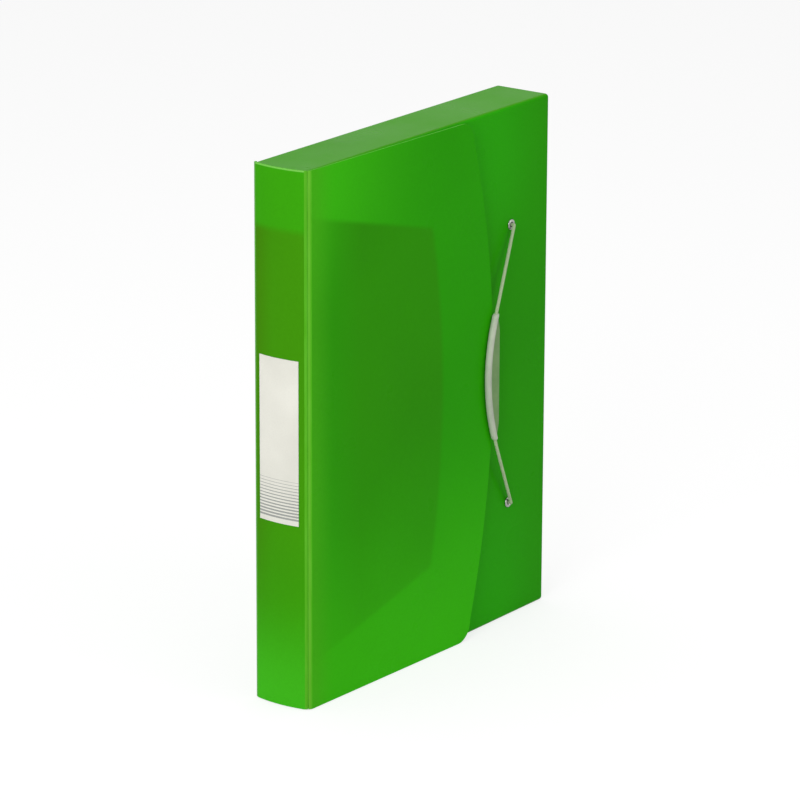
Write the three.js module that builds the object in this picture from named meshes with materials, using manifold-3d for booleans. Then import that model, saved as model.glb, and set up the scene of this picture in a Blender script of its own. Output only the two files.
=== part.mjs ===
import * as THREE from 'three';
import { mergeVertices } from 'three/addons/utils/BufferGeometryUtils.js';
import { RoundedBoxGeometry } from 'three/addons/geometries/RoundedBoxGeometry.js';
import Module from 'manifold-3d';

// A4 box file of folded plastic sheet, standing on its bottom wall. Millimetres, +Z up.
// It is drawn with X from the spine to the fore-edge, Y from front to back and Z from the base,
// and moved at the end so that the origin is under the middle of its bounding box.

// Driving dimensions
const boxWidth = 240;
const boxHeight = 320;
const boxDepth = 40;
const sheet = 0.8;
const fitGap = 0.4;
const coverGap = 1.1;
const seatGap = 0.2;
const hingeGap = 0.3;

// Spine and its two creased strips
const creaseWidth = 2.8;
const spineBulge = 2;
const spineSteps = 12;
const coverFloorGap = 0.4;
const rimStep = 0.8;

// Title label on the spine
const labelWidth = 27.5;
const labelHeight = 98;
const labelThickness = 0.25;

// Tray folds, the closure flap's reach under the cover's free edge, and the dust flaps at both ends
const foldRadius = 2.2;
const foldSegments = 3;
const flapOverlap = 50;
const dustFlapReach = 26.5;
const dustFlapSlope = 0.255;
const mouthSteps = 16;

// Front cover and its bowed free edge, whose corners stand back from the fore-edge
const coverSetback = 90;
const bowDepth = 28;
const cornerRadius = 12;
const cornerSteps = 5;
const coverRows = 16;
const coverColumns = 8;
const coverLift = 4.5;
const elasticHold = 0.5;

// Elastic cord, eyelets and cord stops
const eyeletSetback = 39;
const eyeletSpacing = 173.5;
const cordRadius = 1;
const boreGap = 0.35;
const barrelWall = 0.75;
const flangeWidth = 1;
const flangeHeight = 0.9;
const rimHeight = 0.7;
const turnedSegments = 20;
const cordSides = 8;
const stopWall = 1.1;
const stopLength = 4.5;
const endBallGrowth = 0.1;

// Finger grip that the cord runs through
const gripLength = 78;
const gripDrop = 0.7;
const gripBow = 7.5;
const gripRimRadius = 2;
const gripSideOffset = 24;
const gripWebWidth = 3.4;
const gripWebThickness = 1.2;
const gripWebInset = 13;
const gripSteps = 14;
const cordOverhang = 6;

const wasm = await Module();
wasm.setup();

// The inner face of the spine and the clearance behind it, and the face of the tray behind the cover
const innerFace = sheet + fitGap;
const trayFront = sheet + coverGap;
const trayHeight = boxHeight - rimStep;
const middleHeight = boxHeight / 2;
const coverWidth = boxWidth - coverSetback;
const coverHeight = boxHeight - coverFloorGap;
const slantStep = Math.SQRT1_2;

// Eyelet and cord places, front to back
const eyeletX = boxWidth - eyeletSetback;
const eyeletHeights = [middleHeight - eyeletSpacing / 2, middleHeight + eyeletSpacing / 2];
const boreRadius = cordRadius + boreGap;
const barrelRadius = boreRadius + barrelWall;
const holeRadius = barrelRadius + seatGap;
const flangeRadius = holeRadius + flangeWidth;
const flangeBack = trayFront - seatGap;
const flangeFront = flangeBack - flangeHeight;
const clinchFront = trayFront + sheet + seatGap;
const clinchBack = clinchFront + rimHeight;
const endBallRadius = cordRadius + endBallGrowth;
const cordPivotY = flangeFront - hingeGap - cordRadius;
const tailFront = cordPivotY + endBallRadius + hingeGap;
const stopFront = clinchBack + seatGap;

const plastic = new THREE.MeshStandardMaterial({ color: 0x2f9a16, roughness: 0.3, metalness: 0 });
const paper = new THREE.MeshStandardMaterial({ color: 0xe6e4de, roughness: 0.8, metalness: 0 });
const metal = new THREE.MeshStandardMaterial({ color: 0xc9c9c6, roughness: 0.25, metalness: 1 });
const elastic = new THREE.MeshStandardMaterial({ color: 0xb9c4ae, roughness: 0.85, metalness: 0 });
const gripPlastic = new THREE.MeshStandardMaterial({ color: 0xa9ae9f, roughness: 0.45, metalness: 0 });

// A closed geometry with merged vertices, as a solid that can be joined and cut
function toSolid(geometry) {
  const bare = geometry.clone();
  bare.deleteAttribute('normal');
  bare.deleteAttribute('uv');
  const merged = mergeVertices(bare);
  const vertProperties = Float32Array.from(merged.attributes.position.array);
  const triVerts = Uint32Array.from(merged.index.array);
  return new wasm.Manifold(new wasm.Mesh({ numProp: 3, vertProperties, triVerts }));
}

function toGeometry(solid) {
  const mesh = solid.getMesh();
  const geometry = new THREE.BufferGeometry();
  geometry.setAttribute('position', new THREE.BufferAttribute(Float32Array.from(mesh.vertProperties), 3));
  geometry.setIndex(new THREE.BufferAttribute(Uint32Array.from(mesh.triVerts), 1));
  geometry.computeVertexNormals();
  return geometry;
}

function roundedBlock(xMin, xMax, yMin, yMax, zMin, zMax, radius) {
  const geometry = new RoundedBoxGeometry(xMax - xMin, yMax - yMin, zMax - zMin, foldSegments, radius);
  geometry.translate((xMin + xMax) / 2, (yMin + yMax) / 2, (zMin + zMax) / 2);
  return toSolid(geometry);
}

// A plan outline raised from zMin to zMax
function standing(points, zMin, zMax) {
  const geometry = new THREE.ExtrudeGeometry(new THREE.Shape(points), {
    depth: zMax - zMin,
    bevelEnabled: false,
    steps: 1,
  });
  geometry.translate(0, 0, zMin);
  return geometry;
}

// The polyline moved sideways by a distance, with mitred corners; positive is towards the box
function offsetOutline(points, distance) {
  const normals = [];
  for (let i = 0; i < points.length - 1; i += 1) {
    const along = points[i + 1].clone().sub(points[i]).normalize();
    normals.push(new THREE.Vector2(along.y, -along.x));
  }
  return points.map((point, i) => {
    const before = normals[Math.max(i - 1, 0)];
    const after = normals[Math.min(i, normals.length - 1)];
    const mitre = before.clone().add(after);
    mitre.multiplyScalar(distance / (1 + before.dot(after)));
    return point.clone().add(mitre);
  });
}

const spineHalf = boxDepth / 2 - creaseWidth;
const spineRadius = (spineHalf ** 2 + spineBulge ** 2) / (2 * spineBulge);
const spineCentreX = spineRadius - spineBulge;

function spineArc(radius, halfWidth) {
  const halfAngle = Math.asin(halfWidth / spineRadius);
  const points = [];
  for (let i = 0; i <= spineSteps; i += 1) {
    const angle = halfAngle * (2 * i / spineSteps - 1);
    const x = spineCentreX - radius * Math.cos(angle);
    points.push(new THREE.Vector2(x, boxDepth / 2 + radius * Math.sin(angle)));
  }
  return points;
}

const frontCrease = new THREE.Vector2(creaseWidth, 0);
const backCrease = new THREE.Vector2(creaseWidth, boxDepth);
const frontHinge = new THREE.Vector2(creaseWidth / 2, creaseWidth / 2);
const backHinge = new THREE.Vector2(creaseWidth / 2, boxDepth - creaseWidth / 2);
const hingeStep = slantStep * hingeGap / 2;

// Outer outline of the spine in plan, front to back, ending at the middle of each creased strip
function spineOutline() {
  const start = frontHinge.clone().add(new THREE.Vector2(-hingeStep, hingeStep));
  const end = backHinge.clone().add(new THREE.Vector2(-hingeStep, -hingeStep));
  return [start, ...spineArc(spineRadius, spineHalf), end];
}

function spinePanel() {
  const outer = spineOutline();
  const inner = offsetOutline(outer, sheet);
  return standing([...outer, ...inner.reverse()], coverFloorGap, boxHeight);
}

function spineLabel() {
  const inner = spineArc(spineRadius + seatGap, labelWidth / 2);
  const outer = spineArc(spineRadius + seatGap + labelThickness, labelWidth / 2);
  const bottom = middleHeight - labelHeight / 2;
  return standing([...outer, ...inner.reverse()], bottom, bottom + labelHeight);
}

// The tray's walls reach to the clearance behind the spine
function trayPlan() {
  const outline = [frontCrease, ...spineArc(spineRadius, spineHalf), backCrease];
  const reach = offsetOutline(outline, innerFace);
  const right = boxWidth + sheet;
  return [
    new THREE.Vector2(reach[0].x, -boxDepth),
    ...reach,
    backCrease,
    new THREE.Vector2(creaseWidth, 2 * boxDepth),
    new THREE.Vector2(right, 2 * boxDepth),
    new THREE.Vector2(right, -boxDepth),
  ];
}

// The back panel's half of the back creased strip
function backStrip() {
  const overlap = 2 * sheet;
  const start = backHinge.clone().add(new THREE.Vector2(hingeStep, hingeStep));
  const outer = [start, backCrease, new THREE.Vector2(creaseWidth + overlap, boxDepth)];
  const inner = offsetOutline(outer, sheet);
  return toSolid(standing([...outer, ...inner.reverse()], 0, trayHeight));
}

// The closure flap's bowed edge, parallel to the cover's, at a height above the base
function closureEdge(z) {
  return coverBow(z) - flapOverlap;
}

// The opening in the tray's front: between the slanted dust flaps, as far as the closure flap's
// edge, and on as a slit between that edge and the dust flaps
function mouth() {
  const slant = dustFlapReach + dustFlapSlope * closureEdge(middleHeight);
  const levels = (from, to) => {
    return Array.from({ length: mouthSteps + 1 }, (_, i) => from + (to - from) * i / mouthSteps);
  };
  const shape = new THREE.Shape();
  shape.moveTo(0, dustFlapReach);
  for (const z of levels(slant, foldRadius)) {
    shape.lineTo(closureEdge(z) - fitGap, z);
  }
  for (const z of levels(foldRadius, trayHeight - foldRadius)) {
    shape.lineTo(closureEdge(z), z);
  }
  for (const z of levels(trayHeight - foldRadius, trayHeight - slant)) {
    shape.lineTo(closureEdge(z) - fitGap, z);
  }
  shape.lineTo(0, trayHeight - dustFlapReach);
  shape.lineTo(-boxDepth, trayHeight - dustFlapReach);
  shape.lineTo(-boxDepth, dustFlapReach);
  const depth = trayFront + foldRadius;
  const geometry = new THREE.ExtrudeGeometry(shape, { depth, bevelEnabled: false });
  geometry.rotateX(Math.PI / 2);
  geometry.translate(0, depth, 0);
  return toSolid(geometry);
}

// The folded and welded sheet: back panel, walls, closure flap and dust flaps
function tray() {
  const innerRadius = foldRadius - sheet;
  const left = -boxDepth;
  const hollow = roundedBlock(
    2 * left, boxWidth - sheet, trayFront + sheet, boxDepth - sheet, sheet, trayHeight - sheet, innerRadius,
  );
  let solid = roundedBlock(left, boxWidth, trayFront, boxDepth, 0, trayHeight, foldRadius);
  solid = solid.subtract(hollow).subtract(mouth());
  solid = solid.intersect(toSolid(standing(trayPlan(), -sheet, boxHeight + sheet)));
  solid = solid.add(backStrip());
  for (const height of eyeletHeights) {
    const hole = new THREE.CylinderGeometry(holeRadius, holeRadius, 4 * sheet, turnedSegments);
    hole.translate(eyeletX, trayFront + sheet / 2, height);
    solid = solid.subtract(toSolid(hole));
  }
  return toGeometry(solid);
}

// The bow of the cover's free edge, before its corners are rounded
function coverBow(height) {
  return coverWidth + bowDepth * (1 - (2 * height / coverHeight - 1) ** 2);
}

// Distance of the cover's free edge from the spine, at a height above the cover's bottom edge
function coverEdge(height) {
  const end = Math.min(height, coverHeight - height);
  if (end >= cornerRadius) {
    return coverBow(height);
  }
  return coverBow(cornerRadius) - cornerRadius + Math.sqrt(cornerRadius ** 2 - (cornerRadius - end) ** 2);
}

// How far the cover springs out from the box front; the elastic holds its middle down
function coverProud(x, height) {
  const held = elasticHold * (1 - (2 * height / coverHeight - 1) ** 2);
  return coverLift * (x - creaseWidth) / (coverWidth - creaseWidth) * (1 - held);
}

function coverLevels() {
  const levels = [];
  for (let i = 0; i < cornerSteps; i += 1) {
    levels.push(cornerRadius * (1 - Math.cos(Math.PI / 2 * i / cornerSteps)));
  }
  const ends = levels.map((level) => coverHeight - level).reverse();
  for (let i = 0; i <= coverRows; i += 1) {
    levels.push(cornerRadius + (coverHeight - 2 * cornerRadius) * i / coverRows);
  }
  return [...levels, ...ends];
}

// A closed sheet from matching grids of points on its two faces
function gridSheet(front, back) {
  const rows = front.length;
  const columns = front[0].length;
  const positions = [...front.flat(), ...back.flat()].flatMap((point) => [point.x, point.y, point.z]);
  const backStart = rows * columns;
  const at = (side, row, column) => side * backStart + row * columns + column;
  const index = [];
  const quad = (a, b, c, d) => index.push(a, b, c, a, c, d);
  for (let row = 0; row < rows - 1; row += 1) {
    for (let column = 0; column < columns - 1; column += 1) {
      quad(at(0, row, column), at(0, row, column + 1), at(0, row + 1, column + 1), at(0, row + 1, column));
      quad(at(1, row, column), at(1, row + 1, column), at(1, row + 1, column + 1), at(1, row, column + 1));
    }
    const last = columns - 1;
    quad(at(0, row, 0), at(0, row + 1, 0), at(1, row + 1, 0), at(1, row, 0));
    quad(at(0, row, last), at(1, row, last), at(1, row + 1, last), at(0, row + 1, last));
  }
  const top = rows - 1;
  for (let column = 0; column < columns - 1; column += 1) {
    quad(at(0, 0, column), at(1, 0, column), at(1, 0, column + 1), at(0, 0, column + 1));
    quad(at(0, top, column), at(0, top, column + 1), at(1, top, column + 1), at(1, top, column));
  }
  const geometry = new THREE.BufferGeometry();
  geometry.setAttribute('position', new THREE.Float32BufferAttribute(positions, 3));
  geometry.setIndex(index);
  geometry.computeVertexNormals();
  return geometry;
}

function frontCover() {
  const start = frontHinge.clone().add(new THREE.Vector2(hingeStep, -hingeStep));
  const mitre = sheet * Math.tan(Math.PI / 8);
  const front = [];
  const back = [];
  for (const height of coverLevels()) {
    const z = coverFloorGap + height;
    const edge = coverEdge(height);
    const frontRow = [new THREE.Vector3(start.x, start.y, z), new THREE.Vector3(creaseWidth, 0, z)];
    const backRow = [
      new THREE.Vector3(start.x + slantStep * sheet, start.y + slantStep * sheet, z),
      new THREE.Vector3(creaseWidth + mitre, sheet, z),
    ];
    for (let i = 1; i <= coverColumns; i += 1) {
      const x = creaseWidth + (edge - creaseWidth) * i / coverColumns;
      const y = -coverProud(x, height);
      frontRow.push(new THREE.Vector3(x, y, z));
      backRow.push(new THREE.Vector3(x, y + sheet, z));
    }
    front.push(frontRow);
    back.push(backRow);
  }
  return gridSheet(front, back);
}

// A closed ring turned about the front-to-back axis of an eyelet; its profile is listed back to front
function turned(profile, height) {
  const points = [...profile, profile[0]].reverse().map(([radius, y]) => new THREE.Vector2(radius, y));
  const geometry = new THREE.LatheGeometry(points, turnedSegments);
  geometry.translate(eyeletX, 0, height);
  return toGeometry(toSolid(geometry));
}

function eyelet(height) {
  const round = 0.25 * flangeHeight;
  return turned([
    [boreRadius, clinchBack - round],
    [boreRadius + round, clinchBack],
    [flangeRadius - 2 * round, clinchBack - round],
    [flangeRadius - round, clinchFront],
    [barrelRadius, clinchFront],
    [barrelRadius, flangeBack],
    [flangeRadius, flangeBack],
    [flangeRadius, flangeBack - round],
    [flangeRadius - 2 * round, flangeFront + round / 2],
    [boreRadius + 1.5 * round, flangeFront],
    [boreRadius, flangeFront + round],
  ], height);
}

// The crimped ferrule that keeps the cord's end behind the closure flap
function cordStop(height) {
  const inner = cordRadius + seatGap;
  const outer = inner + stopWall;
  const waist = outer - 0.4 * stopWall;
  return turned([
    [inner, stopFront + stopLength],
    [outer, stopFront + stopLength],
    [outer, stopFront + 0.7 * stopLength],
    [waist, stopFront + 0.5 * stopLength],
    [outer, stopFront + 0.3 * stopLength],
    [outer, stopFront],
    [inner, stopFront],
  ], height);
}

// The short end of the cord that goes through its eyelet and into its stop
function cordTail(height) {
  const length = stopFront + stopLength - tailFront;
  const geometry = new THREE.CylinderGeometry(cordRadius, cordRadius, length, turnedSegments);
  geometry.translate(eyeletX, tailFront + length / 2, height);
  return geometry;
}

// Middle line of the grip's rim, bowed towards the spine
const gripX = eyeletX - gripSideOffset;
const gripMiddle = middleHeight - gripDrop;
const coverUnderGrip = coverProud(gripX, gripMiddle - coverFloorGap);
const gripY = -(coverUnderGrip + gripRimRadius + hingeGap);

function gripLine(extra) {
  const half = gripLength / 2;
  const points = [];
  for (let i = 0; i <= gripSteps; i += 1) {
    const share = 2 * i / gripSteps - 1;
    const bow = gripBow * (1 - share ** 2);
    points.push(new THREE.Vector3(gripX - bow, gripY, gripMiddle + share * half));
  }
  const lead = points[0].clone().sub(points[1]).setLength(extra);
  if (extra > 0) {
    points.unshift(points[0].clone().add(lead));
    points.push(new THREE.Vector3(points[0].x, gripY, 2 * gripMiddle - points[0].z));
  }
  return points;
}

// A round bar along a smooth curve
function roundBar(points, radius, sides, steps) {
  const section = new THREE.Shape();
  section.absarc(0, 0, radius, 0, 2 * Math.PI, false);
  const path = new THREE.CatmullRomCurve3(points, false, 'centripetal');
  return new THREE.ExtrudeGeometry(section, {
    steps,
    extrudePath: path,
    curveSegments: sides / 2,
    bevelEnabled: false,
  });
}

function gripWeb() {
  const half = gripLength / 2;
  const right = gripX + gripWebWidth;
  const rounding = gripWebInset / 2;
  const top = half - gripWebInset;
  const shape = new THREE.Shape();
  shape.moveTo(gripX, -half);
  shape.quadraticCurveTo(right, -top - rounding, right, -top);
  shape.lineTo(right, top);
  shape.quadraticCurveTo(right, top + rounding, gripX, half);
  const rim = gripLine(0).reverse();
  for (const point of rim.slice(1, -1)) {
    shape.lineTo(point.x, point.z - gripMiddle);
  }
  const geometry = new THREE.ExtrudeGeometry(shape, { depth: gripWebThickness, bevelEnabled: false, curveSegments: 6 });
  geometry.rotateX(Math.PI / 2);
  geometry.translate(0, gripY + gripWebThickness / 2, gripMiddle);
  return toSolid(geometry);
}

function elasticGrip() {
  const rim = toSolid(roundBar(gripLine(0), gripRimRadius, 12, gripSteps));
  const bore = toSolid(roundBar(gripLine(cordOverhang), cordRadius + hingeGap, 12, gripSteps + 2));
  return toGeometry(rim.add(gripWeb()).subtract(bore));
}

// The cord's span, from a round end at one eyelet, through the grip, to the other eyelet
function elasticCord() {
  const ends = eyeletHeights.map((height) => new THREE.Vector3(eyeletX, cordPivotY, height));
  const middle = gripLine(cordOverhang);
  const points = [ends[0], ends[0].clone().lerp(middle[0], 0.5), ...middle];
  points.push(middle[middle.length - 1].clone().lerp(ends[1], 0.5), ends[1]);
  let solid = toSolid(roundBar(points, cordRadius, cordSides, 48));
  for (const end of ends) {
    const ball = new THREE.SphereGeometry(endBallRadius, 12, 8);
    ball.translate(end.x, end.y, end.z);
    solid = solid.add(toSolid(ball));
  }
  return toGeometry(solid);
}

const folder = new THREE.Group();

function place(name, geometry, material) {
  const mesh = new THREE.Mesh(geometry, material);
  mesh.name = name;
  folder.add(mesh);
}

place('tray', tray(), plastic);
place('spine_panel', spinePanel(), plastic);
place('spine_label', spineLabel(), paper);
place('front_cover', frontCover(), plastic);
for (const [i, side] of ['lower', 'upper'].entries()) {
  place(`eyelet_${side}`, eyelet(eyeletHeights[i]), metal);
  place(`cord_tail_${side}`, cordTail(eyeletHeights[i]), elastic);
  place(`cord_stop_${side}`, cordStop(eyeletHeights[i]), metal);
}
place('elastic_cord', elasticCord(), elastic);
place('elastic_grip', elasticGrip(), gripPlastic);

const bounds = new THREE.Box3().setFromObject(folder);
const centre = bounds.getCenter(new THREE.Vector3());
folder.position.set(-centre.x, -centre.y, -bounds.min.z);

const model = new THREE.Group();
model.add(folder);

export default model;
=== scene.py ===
import math

import bmesh
import bpy
from mathutils import Matrix, Vector


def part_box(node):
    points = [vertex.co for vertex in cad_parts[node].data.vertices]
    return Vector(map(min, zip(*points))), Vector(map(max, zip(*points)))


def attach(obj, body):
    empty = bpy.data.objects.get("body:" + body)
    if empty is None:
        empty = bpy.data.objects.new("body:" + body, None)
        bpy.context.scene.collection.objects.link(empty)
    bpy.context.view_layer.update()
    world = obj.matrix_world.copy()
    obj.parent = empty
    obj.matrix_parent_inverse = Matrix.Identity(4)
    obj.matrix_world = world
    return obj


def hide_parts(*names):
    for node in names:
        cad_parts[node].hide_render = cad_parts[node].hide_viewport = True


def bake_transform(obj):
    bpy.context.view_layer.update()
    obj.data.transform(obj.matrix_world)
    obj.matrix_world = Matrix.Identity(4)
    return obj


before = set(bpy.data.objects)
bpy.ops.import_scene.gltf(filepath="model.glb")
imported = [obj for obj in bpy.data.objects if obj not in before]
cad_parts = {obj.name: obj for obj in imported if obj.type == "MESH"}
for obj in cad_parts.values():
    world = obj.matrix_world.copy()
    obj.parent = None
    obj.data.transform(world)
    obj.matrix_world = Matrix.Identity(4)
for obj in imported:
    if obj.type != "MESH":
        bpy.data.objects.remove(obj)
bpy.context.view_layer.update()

# Sizes in millimetres. X runs from the spine to the fore-edge, Y from front to back, Z up.
MM = 0.001
BOX_WIDTH = 240
BOX_HEIGHT = 320
BOX_DEPTH = 40
SHEET = 0.8
COVER_GAP = 1.1
SEAT_GAP = 0.2
HINGE_GAP = 0.3

# Spine, its creased strips and its label
CREASE_WIDTH = 2.8
SPINE_BULGE = 2
SPINE_STEPS = 48
SPINE_ROWS = 32
FLOOR_GAP = 0.4
LABEL_WIDTH = 27.5
LABEL_HEIGHT = 98
LABEL_THICKNESS = 0.25
LABEL_STEPS = 28
LABEL_BEVEL = 0.06
CREASE_DENT = 0.22
CREASE_SPREAD = 0.38
CREASE_STATIONS = (0.15, 0.3, 0.45, 0.65, 0.9)
STRIP_SHOULDER = 0.75
HALF_FOLD_DEGREES = 22.5
SHEET_BEVEL = 0.14

# Front cover
COVER_WIDTH = 150
BOW_DEPTH = 28
CORNER_RADIUS = 12
CORNER_STEPS = 14
COVER_ROWS = 90
COVER_COLUMNS = 64
COVER_LIFT = 4.5
ELASTIC_HOLD = 0.5

# Flaps behind the cover, over which the cover's green gets painted light
FLAP_OVERLAP = 50
DUST_FLAP_REACH = 26.5
DUST_FLAP_SLOPE = 0.255

# Elastic cord, eyelets and cord stops
EYELET_X = 201
EYELET_SPACING = 173.5
CORD_RADIUS = 1
BORE_GAP = 0.35
BARREL_WALL = 0.75
FLANGE_WIDTH = 1
FLANGE_HEIGHT = 0.9
RIM_HEIGHT = 0.7
STOP_WALL = 1.1
STOP_LENGTH = 4.5
STOP_CHAMFER = 0.25
STOP_WAIST = 0.45
STOP_WAIST_SPREAD = 0.16
STOP_RIDGE = 0.05
STOP_RIDGES = 6
STOP_STEPS = 24
TAIL_END = 0.2
TAIL_STEPS = 24
TURNED_SIDES = 56
DOME_STEPS = 12
CORD_SIDES = 20
CORD_STEPS = 16
CORD_CAP_STEPS = 6
BRAID_PITCH = 2.6
BRAID_TURNS = 8

# Finger grip
GRIP_LENGTH = 78
GRIP_DROP = 0.7
GRIP_BOW = 7.5
GRIP_RADIUS = 2
GRIP_SIDE_OFFSET = 24
GRIP_WEB_WIDTH = 3.4
GRIP_WEB_THICKNESS = 1.2
GRIP_WEB_INSET = 13
GRIP_WEB_TAPER = 2.2
GRIP_THIN_START = 0.6
GRIP_BORE_GAP = 0.3
GRIP_STEPS = 14
GRIP_RINGS = 96
GRIP_SECTION_STEPS = 22
GRIP_FILLET = 0.5
GRIP_NOSE = 1.6
CORD_OVERHANG = 6

# Hinge webs inside the split strips
WEB_HALF_WIDTH = 0.7
WEB_DEPTH = 0.14
WEB_THICKNESS = 0.3
WEB_STEPS = (-1, -0.7, -0.45, -0.3, -0.2, -0.1, 0, 0.1, 0.2, 0.3, 0.45, 0.7, 1)

# Edges that turn more than this, in degrees, stay sharp or are rounded by a bevel
SMALL_PART_SHARP = 50
TRAY_SHARP = 35
BEVEL_SHARP = 55

# The order of a sheet's materials; each one's cut edge comes straight after it
FACE_PLACE = 0
CREASE_PLACE = 2
RIM_OFFSET = 1

# Surface of the sheet, and the range that holds most of a noise's values
SHEET_GLOSS = 0.02
SHEET_ROUGHNESS = 0.3
RIM_ROUGHNESS = 0.4
CREASE_ROUGHNESS = 0.34
CLOUD_SHARE = 0.1
SPECK_SHARE = 0.04
SCRATCH_ROUGHNESS = 0.08
NOISE_LOW = 0.3
NOISE_HIGH = 0.7

# Tones of the sheet: the places where each one sets in and is full, in millimetres, and its share
# Most of these tones are painted light and shade
FOOT_PAINTED_LIGHT = (150, 5)
NEAR_FOLD = (26, 2)
NEAR_FOLD_SHARE = 0.6
DUST_EDGE_FADE = (-1.5, 2.5)
FLAP_EDGE_FADE = (-2, 3)
SHADED_WINDOW_SIDE_FADE = (5, 50, 0.3, 1)
SHADED_WINDOW_FOOT_FADE = (20, 170, 0.25, 1)
COVER_TOP_LIGHT = (225, 300)
COVER_TOP_REACH = (130, 0)
COVER_LOW_FADE = (60, 190, 1, 0.75)
SPINE_TOP_LIGHT_REACH = 36
SPINE_TOP_LIGHT_FADE = 3
SPINE_TURN_SHADE = (22, 38)
SPINE_FOOT_LIGHT = (70, 0)
SPINE_REAR_SHADE = (36, 40)
SPINE_REAR_SHARE = 0.6
SPINE_TOP_GLOW = (1.1, 0.7)
TRAY_TOP_LIGHT = (200, 300)
TRAY_SIDE_FADE = (10, -60)
TRAY_WALL_FADE = (1.6, 0.9)
TRAY_FOLD_WIDTH = 3
TRAY_FOLD_DEPTH = (8, 3)
TRAY_FOLD_SHADE_SHARE = 0.55
CREASE_CHANGE = (-0.2, 0.5)
CREASE_SIDE_FADE = (1.7, 3)
CREASE_GROOVE_FADE = (0.5, 0.15)
CREASE_GROOVE_SHADE_SHARE = 0.45
CREASE_STRESS_SHARE = 0.14

# Greens of the sheet, from 0 to 255; most of them are painted light and shade
# Cover: painted light over the flaps, at the top and foot and beside the fold; painted shade on the single
# sheet
COVER_FLAPS_PAINTED_LIGHT = (42, 160, 3)
COVER_ENDS_PAINTED_LIGHT = (60, 190, 14)
COVER_PAINTED_SHADE = (48, 148, 3)
COVER_FOLD_PAINTED_LIGHT = (76, 176, 24)
# Spine: painted shade in the middle and at the rear edge, painted light at the ends and foot, a painted
# glow at the top
SPINE_SHADE_FRONT = (63, 144, 9)
SPINE_SHADE_BACK = (64, 132, 4)
SPINE_ENDS_PAINTED_LIGHT = (57, 161, 12)
SPINE_FOOT_PAINTED_LIGHT = (64, 182, 28)
SPINE_REAR_PAINTED_SHADE = (64, 118, 8)
SPINE_TOP_PAINTED_GLOW = (122, 200, 84)
# Tray: painted light at the top and foot, painted shade along the fore-edge fold
TRAY_PLAIN = (40, 151, 1)
TRAY_ENDS_PAINTED_LIGHT = (42, 168, 6)
TRAY_WALLS = (68, 157, 8)
TRAY_FOLD_PAINTED_SHADE = (26, 92, 14)
# Painted glow of the sheet's cut edge
RIM_GLOW_GREENS = ((72, 170, 30), (92, 188, 48))
CREASE_ON_SPINE = (78, 164, 28)
CREASE_ON_COVER = (92, 170, 40)
CREASE_BESIDE = (76, 172, 24)
# Painted shade along the groove between the crease's halves
CREASE_GROOVE_SHADE = (46, 128, 18)
CREASE_STRESS = (132, 214, 82)

# Label's block of ruled bands, in millimetres above its foot
BANDS_START = 3
BANDS_HEIGHT = 23
BAND_PITCH = 1.9
BAND_DUTY = (0.62, 0.1)
INK_SHARE = 0.85

# Places that follow from the sizes
MIDDLE_HEIGHT = BOX_HEIGHT / 2
COVER_HEIGHT = BOX_HEIGHT - FLOOR_GAP
TRAY_FRONT = SHEET + COVER_GAP
EYELET_HEIGHTS = {
    "lower": MIDDLE_HEIGHT - EYELET_SPACING / 2,
    "upper": MIDDLE_HEIGHT + EYELET_SPACING / 2,
}
BORE_RADIUS = CORD_RADIUS + BORE_GAP
BARREL_RADIUS = BORE_RADIUS + BARREL_WALL
FLANGE_RADIUS = BARREL_RADIUS + SEAT_GAP + FLANGE_WIDTH
FLANGE_BACK = TRAY_FRONT - SEAT_GAP
FLANGE_FRONT = FLANGE_BACK - FLANGE_HEIGHT
CLINCH_FRONT = TRAY_FRONT + SHEET + SEAT_GAP
CLINCH_BACK = CLINCH_FRONT + RIM_HEIGHT
CORD_PIVOT_Y = FLANGE_FRONT - HINGE_GAP - CORD_RADIUS
STOP_FRONT = CLINCH_BACK + SEAT_GAP
GRIP_X = EYELET_X - GRIP_SIDE_OFFSET
GRIP_MIDDLE = MIDDLE_HEIGHT - GRIP_DROP
SPINE_HALF = BOX_DEPTH / 2 - CREASE_WIDTH
SPINE_RADIUS = (SPINE_HALF ** 2 + SPINE_BULGE ** 2) / (2 * SPINE_BULGE)
SPINE_CENTRE_X = SPINE_RADIUS - SPINE_BULGE

# The camera that took the picture, its frame taken as 800 pixels square
CAMERA_AZIMUTH = -53.84
CAMERA_ELEVATION = 17.1
CAMERA_ROLL = 0.246
CAMERA_DISTANCE = 2.711
CAMERA_LENS = 207.8
CAMERA_SENSOR = 36
CAMERA_AIM_RIGHT = -0.00504
CAMERA_AIM_UP = -0.00459

# Studio: the floor's half width and each lamp's place and size in metres, and its watts
FLOOR_HALF = 6
FLOOR_GREY = 0.8
FLOOR_GLOW = 1.2
FLOOR_GLOW_SHARE = 0.62
AMBIENT = 0.55
LAMPS = {
    "spine_lamp": ((-1.6, -0.35, 0.9), 1.0, 16),
    "front_lamp": ((0.5, -1.8, 1.2), 1.2, 6),
    "top_lamp": ((0.2, 0.3, 1.9), 1.2, 6),
}

tray_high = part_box("tray")[1]
ORIGIN = Vector((tray_high.x - BOX_WIDTH * MM, tray_high.y - BOX_DEPTH * MM, 0))


def at(x, y, z):
    """A place on the box in millimetres, as a point of the frame in metres."""
    return ORIGIN + Vector((x, y, z)) * MM


# Colours and materials

def linear(red, green, blue):
    """A colour written from 0 to 255, as the linear colour that a shader takes."""
    channels = []
    for value in (red, green, blue):
        share = value / 255
        channels.append(share / 12.92 if share <= 0.04045 else ((share + 0.055) / 1.055) ** 2.4)
    return (*channels, 1)


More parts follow.
